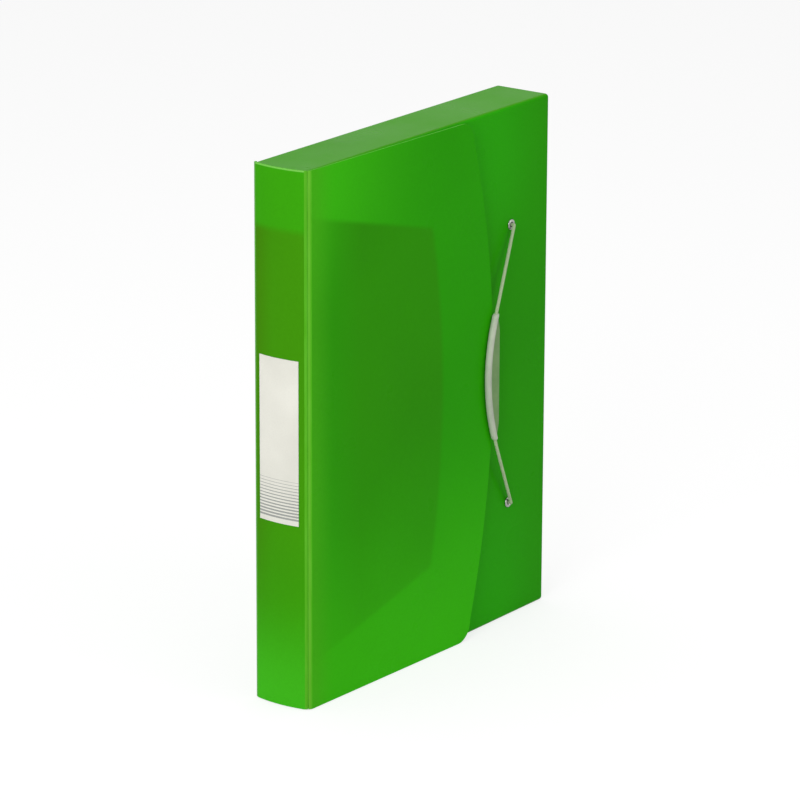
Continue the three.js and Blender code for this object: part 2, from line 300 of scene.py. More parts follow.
class Look:
    """A material with one Principled shader, and short calls that add nodes to it."""

    def __init__(self, name, roughness, specular, metallic=0):
        self.material = bpy.data.materials.new(name)
        self.material.use_nodes = True
        self.tree = self.material.node_tree
        self.shader = self.tree.nodes["Principled BSDF"]
        self.shader.inputs["Roughness"].default_value = roughness
        self.shader.inputs["Specular IOR Level"].default_value = specular
        self.shader.inputs["Metallic"].default_value = metallic
        self.places = self.node("ShaderNodeTexCoord").outputs["Object"]
        shift = tuple(-part / MM for part in ORIGIN)
        scale = (1 / MM, 1 / MM, 1 / MM)
        values = {"Vector": self.places, "Location": shift, "Scale": scale}
        drawn = self.node("ShaderNodeMapping", values)
        parts = self.node("ShaderNodeSeparateXYZ", {"Vector": drawn.outputs["Vector"]})
        self.x, self.y, self.z = parts.outputs

    def node(self, kind, values=None):
        node = self.tree.nodes.new(kind)
        for key, value in (values or {}).items():
            if isinstance(value, bpy.types.NodeSocket):
                self.tree.links.new(value, node.inputs[key])
            else:
                node.inputs[key].default_value = value
        return node

    def stretched(self, stretch):
        return self.node("ShaderNodeMapping", {"Vector": self.places, "Scale": stretch}).outputs["Vector"]

    def noise(self, scale, detail=3, stretch=None):
        places = self.stretched(stretch) if stretch else self.places
        values = {"Vector": places, "Scale": scale, "Detail": detail}
        return self.node("ShaderNodeTexNoise", values).outputs["Fac"]

    def ranged(self, value, low, high, to_low=0, to_high=1):
        values = {"Value": value, "From Min": low, "From Max": high, "To Min": to_low, "To Max": to_high}
        return self.node("ShaderNodeMapRange", values).outputs["Result"]

    def spread(self, noise, to_low=0, to_high=1):
        """A noise stretched over the range from to_low to to_high."""
        return self.ranged(noise, NOISE_LOW, NOISE_HIGH, to_low, to_high)

    def step(self, value, low, high):
        """Nought below low and one above high, with a smooth change between them."""
        node = self.node("ShaderNodeMapRange", {"Value": value, "From Min": low, "From Max": high})
        node.interpolation_type = "SMOOTHSTEP"
        return node.outputs["Result"]

    def product(self, *values):
        total = values[0]
        for value in values[1:]:
            total = self.math("MULTIPLY", total, value)
        return total

    def math(self, operation, first, second=0):
        node = self.node("ShaderNodeMath", {0: first, 1: second})
        node.operation = operation
        return node.outputs[0]

    def mixed(self, factor, low, high):
        node = self.tree.nodes.new("ShaderNodeMix")
        node.data_type = "RGBA"
        for key, value in ((0, factor), (6, low), (7, high)):
            if isinstance(value, bpy.types.NodeSocket):
                self.tree.links.new(value, node.inputs[key])
            else:
                node.inputs[key].default_value = value
        return node.outputs[2]

    def bump(self, height, distance, strength=1, before=None):
        values = {"Height": height, "Distance": distance, "Strength": strength}
        if before is not None:
            values["Normal"] = before
        return self.node("ShaderNodeBump", values).outputs["Normal"]

    def finish(self, colour, roughness=None, normal=None):
        self.tree.links.new(colour, self.shader.inputs["Base Color"])
        if roughness is not None:
            self.tree.links.new(roughness, self.shader.inputs["Roughness"])
        if normal is not None:
            self.tree.links.new(normal, self.shader.inputs["Normal"])
        return self.material


def from_ends(look):
    """Height above the box's bottom or below its top, whichever is less."""
    aside = look.math("ABSOLUTE", look.math("SUBTRACT", look.z, MIDDLE_HEIGHT))
    return look.math("SUBTRACT", MIDDLE_HEIGHT, aside)


def foot_painted_light(look):
    """Painted light: the lower end of the box is brighter than its middle."""
    return look.step(look.z, *FOOT_PAINTED_LIGHT)


def cover_tone(look):
    """Painted light over the flaps behind the cover, painted shade where it is a single sheet."""
    dust_edge = look.math("ADD", look.product(look.x, DUST_FLAP_SLOPE), DUST_FLAP_REACH)
    off_dust = look.step(look.math("SUBTRACT", from_ends(look), dust_edge), *DUST_EDGE_FADE)
    level = look.ranged(look.z, 0, BOX_HEIGHT, -1, 1)
    bow = look.product(level, level, BOW_DEPTH)
    flap_edge = look.math("SUBTRACT", COVER_WIDTH + BOW_DEPTH - FLAP_OVERLAP, bow)
    off_flap = look.step(look.math("SUBTRACT", flap_edge, look.x), *FLAP_EDGE_FADE)
    side_fade = look.ranged(look.x, *SHADED_WINDOW_SIDE_FADE)
    foot_fade = look.ranged(look.z, *SHADED_WINDOW_FOOT_FADE)
    # Painted shade on the single sheet between the flaps, where the dark inside of the box lies behind it
    shaded_window = look.product(off_dust, off_flap, side_fade, foot_fade)
    # Painted light at the top towards the spine and along the foot of the cover
    upper = look.product(look.step(look.z, *COVER_TOP_LIGHT), look.step(look.x, *COVER_TOP_REACH))
    lower = look.product(foot_painted_light(look), look.ranged(look.x, *COVER_LOW_FADE))
    bright = look.math("MAXIMUM", upper, lower)
    lit_over_flaps = look.mixed(bright, linear(*COVER_FLAPS_PAINTED_LIGHT), linear(*COVER_ENDS_PAINTED_LIGHT))
    tone = look.mixed(shaded_window, lit_over_flaps, linear(*COVER_PAINTED_SHADE))
    # Painted light in a band beside the fold
    near_fold_light = look.product(look.step(look.x, *NEAR_FOLD), NEAR_FOLD_SHARE)
    return look.mixed(near_fold_light, tone, linear(*COVER_FOLD_PAINTED_LIGHT))


def spine_tone(look):
    """Painted light at both ends, olive painted shade towards the back, a painted glow on the top edge."""
    from_top = look.math("SUBTRACT", BOX_HEIGHT, look.z)
    top = look.step(from_top, SPINE_TOP_LIGHT_REACH + SPINE_TOP_LIGHT_FADE, SPINE_TOP_LIGHT_REACH - SPINE_TOP_LIGHT_FADE)
    ends = look.math("MAXIMUM", top, foot_painted_light(look))
    # Painted shade on the middle, deeper towards the back where the rounded spine turns from the light
    shaded_middle = look.mixed(look.step(look.y, *SPINE_TURN_SHADE), linear(*SPINE_SHADE_FRONT), linear(*SPINE_SHADE_BACK))
    tone = look.mixed(ends, shaded_middle, linear(*SPINE_ENDS_PAINTED_LIGHT))
    tone = look.mixed(look.step(look.z, *SPINE_FOOT_LIGHT), tone, linear(*SPINE_FOOT_PAINTED_LIGHT))
    rear = look.product(look.step(look.y, *SPINE_REAR_SHADE), SPINE_REAR_SHARE)
    tone = look.mixed(rear, tone, linear(*SPINE_REAR_PAINTED_SHADE))
    # Painted glow in a thin line just below the top edge
    return look.mixed(look.step(from_top, *SPINE_TOP_GLOW), tone, linear(*SPINE_TOP_PAINTED_GLOW))


def tray_tone(look):
    """Warmer end walls, painted light at top and foot, and painted shade along the fore-edge fold."""
    past_side = look.math("SUBTRACT", look.x, BOX_WIDTH)
    bright = look.math("MAXIMUM", look.step(look.z, *TRAY_TOP_LIGHT), foot_painted_light(look))
    bright = look.product(bright, look.step(past_side, *TRAY_SIDE_FADE))
    front = look.mixed(bright, linear(*TRAY_PLAIN), linear(*TRAY_ENDS_PAINTED_LIGHT))
    wall = look.step(from_ends(look), *TRAY_WALL_FADE)
    tone = look.mixed(wall, front, linear(*TRAY_WALLS))
    # Painted shade along the fore-edge fold
    at_side = look.step(past_side, -TRAY_FOLD_WIDTH, 0)
    fold = look.product(at_side, look.step(look.y, *TRAY_FOLD_DEPTH), TRAY_FOLD_SHADE_SHARE)
    return look.mixed(fold, tone, linear(*TRAY_FOLD_PAINTED_SHADE))


def sheet_look(name, tone):
    """Extruded plastic sheet: cloudy colour, faint waves, fine grain and hairline scratches."""
    look = Look(name, SHEET_ROUGHNESS, specular=SHEET_GLOSS)
    clouds = look.spread(look.noise(9, detail=2), CLOUD_SHARE, 0)
    specks = look.ranged(look.noise(700, detail=2), 0.35, 0.65, SPECK_SHARE, 0)
    colour = look.mixed(look.math("ADD", clouds, specks), tone(look), (0, 0, 0, 1))
    scratches = look.noise(60, detail=4, stretch=(1, 1, 22))
    smear = look.spread(look.noise(28, detail=2), SHEET_ROUGHNESS - 0.04, SHEET_ROUGHNESS + 0.05)
    rough = look.math("ADD", smear, look.ranged(scratches, 0.6, 0.75, 0, SCRATCH_ROUGHNESS))
    waves = look.bump(look.noise(16, detail=1), distance=0.0004, strength=0.5)
    grain = look.bump(look.noise(2600, detail=2), distance=0.00002, strength=0.5, before=waves)
    return look.finish(colour, rough, grain)


def rim_look():
    """The cut edge of the sheet, with a painted glow for the light that it gathers."""
    look = Look("sheet_rim", RIM_ROUGHNESS, specular=SHEET_GLOSS)
    dull, bright = RIM_GLOW_GREENS
    colour = look.mixed(look.spread(look.noise(160, detail=3)), linear(*dull), linear(*bright))
    cut_marks = look.noise(900, detail=2, stretch=(1, 1, 3))
    relief = look.bump(cut_marks, distance=0.00005, strength=0.6)
    return look.finish(colour, look.spread(cut_marks, 0.32, 0.5), relief)


def crease_look():
    """The pressed strip: a duller half on the spine, a pale one on the cover, painted shade along the
    groove between.
    """
    look = Look("sheet_crease", CREASE_ROUGHNESS, specular=SHEET_GLOSS)
    half_depth = BOX_DEPTH / 2
    aside = look.math("ABSOLUTE", look.math("SUBTRACT", look.y, half_depth))
    across = look.math("SUBTRACT", look.math("ADD", look.x, aside), half_depth)
    change = look.step(across, *CREASE_CHANGE)
    colour = look.mixed(change, linear(*CREASE_ON_SPINE), linear(*CREASE_ON_COVER))
    colour = look.mixed(look.step(across, *CREASE_SIDE_FADE), colour, linear(*CREASE_BESIDE))
    # Painted shade along the groove where the strip is split
    groove_shade = look.step(look.math("ABSOLUTE", across), *CREASE_GROOVE_FADE)
    colour = look.mixed(look.product(groove_shade, CREASE_GROOVE_SHADE_SHARE), colour, linear(*CREASE_GROOVE_SHADE))
    stress = look.noise(420, detail=3, stretch=(1, 1, 0.12))
    colour = look.mixed(look.spread(stress, 0, CREASE_STRESS_SHARE), colour, linear(*CREASE_STRESS))
    relief = look.bump(stress, distance=0.00006, strength=0.6)
    return look.finish(colour, look.spread(stress, 0.28, 0.44), relief)


def paper_look():
    """Matt white label paper with a generic block of ruled bands near its foot."""
    look = Look("label_paper", 0.75, specular=0.25)
    fibres = look.noise(1500, detail=4)
    shade = look.noise(40, detail=2)
    paper = look.mixed(look.spread(shade), linear(214, 213, 203), linear(224, 223, 213))
    paper = look.mixed(look.ranged(fibres, 0.45, 0.8, 0, 0.25), paper, linear(198, 196, 186))
    low = MIDDLE_HEIGHT - LABEL_HEIGHT / 2 + BANDS_START
    high = low + BANDS_HEIGHT
    duty = look.ranged(look.z, low, high, *BAND_DUTY)
    band = look.math("LESS_THAN", look.math("FRACT", look.math("DIVIDE", look.z, BAND_PITCH)), duty)
    above = look.math("GREATER_THAN", look.z, low)
    below = look.math("LESS_THAN", look.z, high)
    printed = look.product(band, above, below)
    ink = look.mixed(look.ranged(fibres, 0.35, 0.65), linear(120, 124, 122), linear(142, 146, 143))
    colour = look.mixed(look.product(printed, INK_SHARE), paper, ink)
    relief = look.bump(fibres, distance=0.00003, strength=0.7)
    return look.finish(colour, look.spread(fibres, 0.68, 0.84), relief)


def metal_look(name, colour, dark, roughness):
    """Plated metal with fine polishing marks."""
    look = Look(name, roughness, specular=0.5, metallic=1)
    marks = look.noise(2400, detail=3)
    tarnish = look.noise(500, detail=3)
    shade = look.mixed(look.ranged(tarnish, 0.35, 0.7), colour, dark)
    rough = look.spread(marks, roughness - 0.06, roughness + 0.1)
    return look.finish(shade, rough, look.bump(marks, distance=0.00002, strength=0.5))


def braid_look():
    """Elastic cord: two sets of crossing strands wound round the core, with painted shade between them."""
    look = Look("elastic_braid", 0.8, specular=0.2)
    places = look.node("ShaderNodeUVMap").outputs["UV"]
    parts = look.node("ShaderNodeSeparateXYZ", {"Vector": places})
    turns = look.math("MULTIPLY", parts.outputs["X"], BRAID_TURNS * math.tau)
    along = look.math("MULTIPLY", parts.outputs["Y"], 2 * math.tau)
    right = look.math("SINE", look.math("ADD", turns, along))
    left = look.math("SINE", look.math("SUBTRACT", turns, along))
    relief = look.math("MAXIMUM", right, left)
    fuzz = look.noise(3000, detail=2)
    # Painted shade in the hollows between strands and a painted highlight on their crests
    colour = look.mixed(look.ranged(relief, -0.6, 0.9), linear(128, 156, 106), linear(194, 212, 172))
    colour = look.mixed(look.ranged(fuzz, 0.4, 0.7, 0, 0.25), colour, linear(150, 172, 128))
    strands = look.bump(relief, distance=0.00012, strength=0.9)
    return look.finish(colour, look.spread(fuzz, 0.7, 0.9), strands)


def grip_look():
    """Satin grey moulding, greener where its web is thin enough to let the sheet behind show."""
    look = Look("grip_moulding", 0.42, specular=0.25)
    thin = look.node("ShaderNodeAttribute")
    thin.attribute_name = "thin"
    cloud = look.spread(look.noise(160, detail=3))
    thick = look.mixed(cloud, linear(168, 177, 158), linear(184, 191, 172))
    web = look.mixed(cloud, linear(98, 136, 76), linear(114, 147, 92))
    grain = look.noise(1800, detail=2)
    colour = look.mixed(thin.outputs["Fac"], thick, web)
    relief = look.bump(grain, distance=0.00003, strength=0.5)
    return look.finish(colour, look.spread(grain, 0.36, 0.5), relief)


TRAY_LOOK = sheet_look("green_tray", tray_tone)
COVER_LOOK = sheet_look("green_cover", cover_tone)
SPINE_LOOK = sheet_look("green_spine", spine_tone)
RIM_LOOK = rim_look()
CREASE_LOOK = crease_look()
PAPER_LOOK = paper_look()
NICKEL_LOOK = metal_look("nickel_plate", linear(172, 174, 168), linear(134, 137, 130), 0.2)
STEEL_LOOK = metal_look("crimped_steel", linear(176, 176, 174), linear(146, 146, 144), 0.34)
BRAID_LOOK = braid_look()
GRIP_LOOK = grip_look()


# Mesh helpers

def new_piece(name, points, faces, materials):
    mesh = bpy.data.meshes.new(name)
    mesh.from_pydata([tuple(point) for point in points], [], faces)
    for material in materials:
        mesh.materials.append(material)
    mesh.shade_smooth()
    piece = bpy.data.objects.new(name, mesh)
    bpy.context.scene.collection.objects.link(piece)
    return piece


def face_outwards(piece):
    mesh = bmesh.new()
    mesh.from_mesh(piece.data)
    bmesh.ops.recalc_face_normals(mesh, faces=mesh.faces)
    mesh.to_mesh(piece.data)
    mesh.free()


def settle(piece, body, nodes):
    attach(piece, body)
    if nodes:
        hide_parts(*nodes)


def grid_piece(name, rows, materials, material_of):
    """An open surface through rows of points; material_of gives each column's material index."""
    columns = len(rows[0])
    points = [point for row in rows for point in row]
    faces = []
    for i in range(len(rows) - 1):
        for j in range(columns - 1):
            start = i * columns + j
            faces.append((start, start + 1, start + columns + 1, start + columns))
    piece = new_piece(name, points, faces, materials)
    for k, face in enumerate(piece.data.polygons):
        face.material_index = material_of(k % (columns - 1))
    return piece


def thicken(piece, thickness, bevel, rim_offset):
    """Gives a surface its thickness behind its face, and rounds its cut edges."""
    solid = piece.modifiers.new("sheet", "SOLIDIFY")
    solid.thickness = thickness * MM
    solid.offset = -1
    solid.use_even_offset = True
    solid.material_offset_rim = rim_offset
    edge = piece.modifiers.new("edge", "BEVEL")
    edge.width = bevel * MM
    edge.segments = 2
    edge.limit_method = "ANGLE"
    edge.angle_limit = math.radians(BEVEL_SHARP)
    edge.harden_normals = True


def lofted(name, rings, materials, closed=False):
    """A skin over rings of points; the ends are capped unless the rings close on themselves."""
    sides = len(rings[0])
    points = [point for ring in rings for point in ring]
    faces = []
    last = len(rings) if closed else len(rings) - 1
    for i in range(last):
        here = i * sides
        there = (i + 1) % len(rings) * sides
        for j in range(sides):
            after = (j + 1) % sides
            faces.append((here + j, here + after, there + after, there + j))
    if not closed:
        faces.append(tuple(range(sides)))
        faces.append(tuple(range(len(points) - sides, len(points))))
    piece = new_piece(name, points, faces, materials)
    face_outwards(piece)
    return piece


def circle(centre, side, rise, radius, sides):
    ring = []
    for j in range(sides):
        angle = math.tau * j / sides
        ring.append(centre + (side * math.cos(angle) + rise * math.sin(angle)) * radius)
    return ring


# Spine, cover, hinge webs and label

def spine_arc(radius, half_width, steps):
    """Plan points on an arc about the bulged spine's centre, front to back."""
    half_angle = math.asin(half_width / SPINE_RADIUS)
    points = []
    for i in range(steps + 1):
        angle = half_angle * (2 * i / steps - 1)
        points.append((SPINE_CENTRE_X - radius * math.cos(angle), BOX_DEPTH / 2 + radius * math.sin(angle)))
    return points


def dented(x, y, distance, inward):
    """A plan point near a fold, pushed in by the pressed groove that the sheet folds along."""
    depth = CREASE_DENT * math.exp(-(distance / CREASE_SPREAD) ** 2)
    return x + inward[0] * depth, y + inward[1] * depth


def strip_points(fold, towards, inward):
    """Plan points of half a creased strip, from its middle split to its fold."""
    half_strip = CREASE_WIDTH / math.sqrt(2) - HINGE_GAP / 2
    distances = [half_strip, STRIP_SHOULDER * half_strip, *reversed(CREASE_STATIONS), 0]
    points = []
    for distance in distances:
        x = fold[0] + towards[0] * distance
        y = fold[1] + towards[1] * distance
        points.append(dented(x, y, distance, inward))
    return points


# Directions in plan: along a slanted strip, and inwards between the strip and the cover
SLANT = math.sqrt(0.5)
FOLD_INWARD = (math.sin(math.radians(HALF_FOLD_DEGREES)), math.cos(math.radians(HALF_FOLD_DEGREES)))


def spine_plan():
    """The spine's outer face in plan, from the split in the front strip to the split in the back one."""
    inward = (FOLD_INWARD[1], FOLD_INWARD[0])
    front = strip_points((0, CREASE_WIDTH), (SLANT, -SLANT), inward)
    arc = spine_arc(SPINE_RADIUS, SPINE_HALF, SPINE_STEPS)
    middle = []
    for x, y in arc[1:-1]:
        distance = min(y - CREASE_WIDTH, BOX_DEPTH - CREASE_WIDTH - y)
        side = 1 if y < BOX_DEPTH / 2 else -1
        middle.append(dented(x, y, distance, (inward[0], inward[1] * side)))
    back = [(x, BOX_DEPTH - y) for x, y in reversed(front)]
    return [*front, *middle, *back], len(front)


def make_spine():
    plan, strip_count = spine_plan()
    rows = []
    for i in range(SPINE_ROWS + 1):
        z = FLOOR_GAP + COVER_HEIGHT * i / SPINE_ROWS
        rows.append([at(x, y, z) for x, y in plan])
    last = len(plan) - 1 - strip_count

    def material_of(column):
        return FACE_PLACE if strip_count - 1 <= column < last + 1 else CREASE_PLACE

    piece = grid_piece("spine_sheet", rows, (SPINE_LOOK, RIM_LOOK, CREASE_LOOK, RIM_LOOK), material_of)
    piece.data.flip_normals()
    thicken(piece, SHEET, SHEET_BEVEL, rim_offset=RIM_OFFSET)
    settle(piece, "spine", ["spine_panel"])


def cover_edge(height):
    """How far the cover's free edge is from the spine, at a height above its bottom edge."""
    def bow(level):
        return COVER_WIDTH + BOW_DEPTH * (1 - (2 * level / COVER_HEIGHT - 1) ** 2)

    end = min(height, COVER_HEIGHT - height)
    if end >= CORNER_RADIUS:
        return bow(height)
    arc = math.sqrt(max(CORNER_RADIUS ** 2 - (CORNER_RADIUS - end) ** 2, 0))
    return bow(CORNER_RADIUS) - CORNER_RADIUS + arc


def cover_proud(x, height):
    """How far the cover springs out from the box front; the elastic holds its middle down."""
    held = ELASTIC_HOLD * (1 - (2 * height / COVER_HEIGHT - 1) ** 2)
    return COVER_LIFT * (x - CREASE_WIDTH) / (COVER_WIDTH - CREASE_WIDTH) * (1 - held)


def cover_levels():
    corner = [CORNER_RADIUS * (1 - math.cos(math.pi / 2 * i / CORNER_STEPS)) for i in range(CORNER_STEPS)]
    middle = []
    for i in range(COVER_ROWS + 1):
        middle.append(CORNER_RADIUS + (COVER_HEIGHT - 2 * CORNER_RADIUS) * i / COVER_ROWS)
    return [*corner, *middle, *[COVER_HEIGHT - level for level in reversed(corner)]]


def cover_row(height):
    z = FLOOR_GAP + height
    edge = cover_edge(height)
    plan = strip_points((CREASE_WIDTH, 0), (-SLANT, SLANT), FOLD_INWARD)
    row = [at(x, y, z) for x, y in plan]
    start = CREASE_WIDTH + CREASE_STATIONS[-1]
    stations = [CREASE_WIDTH + distance for distance in CREASE_STATIONS]
    stations += [start + (edge - start) * i / COVER_COLUMNS for i in range(1, COVER_COLUMNS + 1)]
    for station in stations:
        x, y = dented(station, -cover_proud(station, height), station - CREASE_WIDTH, FOLD_INWARD)
        row.append(at(x, y, z))
    return row


def make_cover():
    rows = [cover_row(height) for height in cover_levels()]
    strip_count = 2 + 2 * len(CREASE_STATIONS) - 1

    def material_of(column):
        return CREASE_PLACE if column < strip_count else FACE_PLACE

    piece = grid_piece("cover_sheet", rows, (COVER_LOOK, RIM_LOOK, CREASE_LOOK, RIM_LOOK), material_of)
    thicken(piece, SHEET, SHEET_BEVEL, rim_offset=RIM_OFFSET)
    settle(piece, "cover", ["front_cover"])


def make_web(name, middle, across, inward):
    """The thin living hinge that joins the two halves of a creased strip."""
    def section(depth, steps):
        points = []
        for step in steps:
            aside = step * WEB_HALF_WIDTH
            x = middle[0] + across[0] * aside + inward[0] * depth
            y = middle[1] + across[1] * aside + inward[1] * depth
            points.append((x, y))
        return points

    outline = section(WEB_DEPTH, WEB_STEPS) + section(WEB_DEPTH + WEB_THICKNESS, reversed(WEB_STEPS))
    rings = []
    for i in range(SPINE_ROWS + 1):
        z = 2 * FLOOR_GAP + (COVER_HEIGHT - 2 * FLOOR_GAP) * i / SPINE_ROWS
        rings.append([at(x, y, z) for x, y in outline])
    piece = lofted(name, rings, (CREASE_LOOK,))
    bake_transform(piece)


def make_webs():
    half = CREASE_WIDTH / 2
    make_web(
        "front_hinge_web",
        middle=(half, half), across=(SLANT, -SLANT), inward=(SLANT, SLANT),
    )
    make_web(
        "back_hinge_web",
        middle=(half, BOX_DEPTH - half), across=(-SLANT, -SLANT), inward=(SLANT, -SLANT),
    )


def make_label():
    plan = spine_arc(SPINE_RADIUS + SEAT_GAP + LABEL_THICKNESS, LABEL_WIDTH / 2, LABEL_STEPS)
    bottom = MIDDLE_HEIGHT - LABEL_HEIGHT / 2
    rows = []
    for i in range(LABEL_STEPS + 1):
        rows.append([at(x, y, bottom + LABEL_HEIGHT * i / LABEL_STEPS) for x, y in plan])
    piece = grid_piece("title_label", rows, (PAPER_LOOK,), lambda column: 0)
    piece.data.flip_normals()
    thicken(piece, LABEL_THICKNESS + SEAT_GAP, LABEL_BEVEL, rim_offset=0)
    settle(piece, "spine", ["spine_label"])


# Eyelets, cord stops, cord and grip

def turned(name, profile, height, material):
    """A ring turned about an eyelet's axis, from a closed profile of radius and depth."""
    rings = []
    for radius, depth in profile:
        centre = at(EYELET_X, depth, height)
        rings.append(circle(centre, Vector((1, 0, 0)), Vector((0, 0, 1)), radius * MM, TURNED_SIDES))
    return lofted(name, rings, (material,), closed=True)


def dome(inner, outer, base, rise):
    """Profile points over a rolled rim, from its inner to its outer radius."""
    points = []
    for i in range(DOME_STEPS + 1):
        angle = math.pi * i / DOME_STEPS
        radius = (inner + outer) / 2 - (outer - inner) / 2 * math.cos(angle)
        points.append((radius, base + rise * math.sin(angle)))
    return points


def make_eyelet(side, height):
    front = dome(BORE_RADIUS, FLANGE_RADIUS, FLANGE_BACK, -FLANGE_HEIGHT)
    back = dome(BORE_RADIUS, FLANGE_RADIUS - BORE_GAP, CLINCH_FRONT, RIM_HEIGHT)
    profile = [*front, (BARREL_RADIUS, FLANGE_BACK), (BARREL_RADIUS, CLINCH_FRONT), *reversed(back)]
    piece = turned(f"rolled_eyelet_{side}", profile, height, NICKEL_LOOK)
    piece.data.set_sharp_from_angle(angle=math.radians(SMALL_PART_SHARP))
    settle(piece, "box", [f"eyelet_{side}"])


def make_stop(side, height):
    inner = CORD_RADIUS + SEAT_GAP
    outer = inner + STOP_WALL
    shoulder = outer - STOP_CHAMFER
    back = STOP_FRONT + STOP_LENGTH
    profile = [(inner, STOP_FRONT), (shoulder, STOP_FRONT)]
    for i in range(STOP_STEPS + 1):
        share = i / STOP_STEPS
        waist = STOP_WAIST * math.exp(-((share - 0.5) / STOP_WAIST_SPREAD) ** 2)
        ridge = STOP_RIDGE * math.cos(share * STOP_RIDGES * math.tau)
        depth = STOP_FRONT + STOP_CHAMFER + (STOP_LENGTH - 2 * STOP_CHAMFER) * share
        profile.append((outer - STOP_RIDGE - waist + ridge, depth))
    profile += [(shoulder, back), (inner, back)]
    piece = turned(f"crimped_stop_{side}", profile, height, STEEL_LOOK)
    piece.data.set_sharp_from_angle(angle=math.radians(SMALL_PART_SHARP))
    settle(piece, "box", [f"cord_stop_{side}"])


def smooth_path(points, steps):
    """A centripetal curve through the points, with this many steps between each two."""
    guides = [2 * points[0] - points[1], *points, 2 * points[-1] - points[-2]]
    path = []
    for i in range(len(points) - 1):
        a, b, c, d = guides[i:i + 4]
        first = math.sqrt((b - a).length)
        second = first + math.sqrt((c - b).length)
        third = second + math.sqrt((d - c).length)
        for k in range(steps):
            t = first + (second - first) * k / steps
            ab = a.lerp(b, t / first)
            bc = b.lerp(c, (t - first) / (second - first))
            cd = c.lerp(d, (t - second) / (third - second))
            abc = ab.lerp(bc, t / second)
            bcd = bc.lerp(cd, (t - first) / (third - first))
            path.append(abc.lerp(bcd, (t - first) / (second - first)))
    path.append(points[-1].copy())
    return path


def cap_stations(point, along, radius, direction):
    """Growing ring places over a tube's half-round end, from its tip inwards."""
    stations = []
    for k in range(1, CORD_CAP_STEPS):
        angle = math.pi / 2 * k / CORD_CAP_STEPS
        middle = point + along * radius * math.cos(angle) * direction
        stations.append((middle, along, radius * math.sin(angle)))
    return stations


def tube_rings(path, radius, sides):
    """Rings along a path, with half-round ends, and each ring's distance along it."""
    depth = Vector((0, 1, 0))
    stations = []
    for i, point in enumerate(path):
        along = (path[min(i + 1, len(path) - 1)] - path[max(i - 1, 0)]).normalized()
        stations.append((point, along, radius))
    first = cap_stations(*stations[0], direction=-1)
    last = cap_stations(*stations[-1], direction=1)
    stations = [*first, *stations, *reversed(last)]
    rings = []
    lengths = []
    length = 0
    for i, (point, along, reach) in enumerate(stations):
        if i:
            length += (point - stations[i - 1][0]).length
        side = along.cross(depth)
        if side.length < 0.1:
            side = Vector((1, 0, 0))
        side.normalize()
        rings.append(circle(point, side, side.cross(along), reach, sides))
        lengths.append(length)
    return rings, lengths


def add_braid_map(piece, lengths, sides):
    """Unwraps a tube: one turn across the map, and its length in braid pitches along it."""
    mesh = piece.data
    layer = mesh.uv_layers.new(name="braid")
    for face in mesh.polygons:
        places = [vertex % sides for vertex in face.vertices]
        wraps = max(places) - min(places) > sides / 2
        for loop in face.loop_indices:
            vertex = mesh.loops[loop].vertex_index
            place = vertex % sides
            if wraps and place == 0:
                place = sides
            layer.data[loop].uv = (place / sides, lengths[vertex // sides] / (BRAID_PITCH * MM))


def braided_tube(name, path, radius):
    rings, lengths = tube_rings(path, radius * MM, CORD_SIDES)
    piece = lofted(name, rings, (BRAID_LOOK,))
    add_braid_map(piece, lengths, CORD_SIDES)
    return piece


def make_tail(side, height):
    """The end of the cord through its eyelet, reaching the swinging span's round end."""
    front = CORD_PIVOT_Y + CORD_RADIUS
    back = STOP_FRONT + STOP_LENGTH + TAIL_END
    path = []
    for i in range(TAIL_STEPS + 1):
        path.append(at(EYELET_X, front + (back - front) * i / TAIL_STEPS, height))
    piece = braided_tube(f"cord_end_{side}", path, CORD_RADIUS)
    settle(piece, "box", [f"cord_tail_{side}"])


def grip_bow(share):
    return GRIP_BOW * (1 - share ** 2)


def grip_depth():
    under = cover_proud(GRIP_X, GRIP_MIDDLE - FLOOR_GAP)
    return -(under + GRIP_RADIUS + HINGE_GAP)


def cord_points():
    """The span's route: eyelet, grip, eyelet."""
    middle = []
    for i in range(GRIP_STEPS + 1):
        share = 2 * i / GRIP_STEPS - 1
        middle.append(at(GRIP_X - grip_bow(share), grip_depth(), GRIP_MIDDLE + share * GRIP_LENGTH / 2))
    lead = (middle[0] - middle[1]).normalized() * CORD_OVERHANG * MM
    top_lead = Vector((lead.x, lead.y, -lead.z))
    middle = [middle[0] + lead, *middle, middle[-1] + top_lead]
    ends = [at(EYELET_X, CORD_PIVOT_Y, height) for height in EYELET_HEIGHTS.values()]
    return [
        ends[0], ends[0].lerp(middle[0], 0.5), *middle, middle[-1].lerp(ends[1], 0.5), ends[1],
    ]


def make_cord():
    piece = braided_tube("elastic_span", smooth_path(cord_points(), CORD_STEPS), CORD_RADIUS)
    settle(piece, "closure", ["elastic_cord"])


def web_reach(z):
    """How far the web's straight edge lies to the fore-edge side of the grip's end line."""
    top = GRIP_LENGTH / 2 - GRIP_WEB_INSET
    beyond = abs(z) - top
    if beyond <= 0:
        return GRIP_WEB_WIDTH
    share = min(beyond / GRIP_WEB_INSET, 1)
    return GRIP_WEB_WIDTH * (1 - share ** GRIP_WEB_TAPER)


def grip_section(radius, reach):
    """Places across the grip: a round bead, a hollow and a flat web with a rounded edge."""
    half_web = GRIP_WEB_THICKNESS / 2
    end = max(reach, radius)
    places = []
    for i in range(GRIP_SECTION_STEPS + 1):
        x = -radius + (end + radius) * (1 - math.cos(math.pi * i / GRIP_SECTION_STEPS)) / 2
        bead = math.sqrt(max(radius ** 2 - x ** 2, 0))
        round_start = end - half_web
        web = 0
        if x > 0 and reach > radius:
            web = half_web * math.sqrt(max(1 - (max(x - round_start, 0) / half_web) ** 2, 0))
        mixing = max(GRIP_FILLET - abs(bead - web), 0) / GRIP_FILLET
        height = max(bead, web) + mixing ** 2 * GRIP_FILLET / 4 * min(web / half_web, 1)
        thin = min(max(x / radius - GRIP_THIN_START, 0), 1)
        places.append((x, height, thin))
    front = [(x, -height, thin) for x, height, thin in places]
    back = [(x, height, thin) for x, height, thin in reversed(places[1:-1])]
    return [*front, *back]


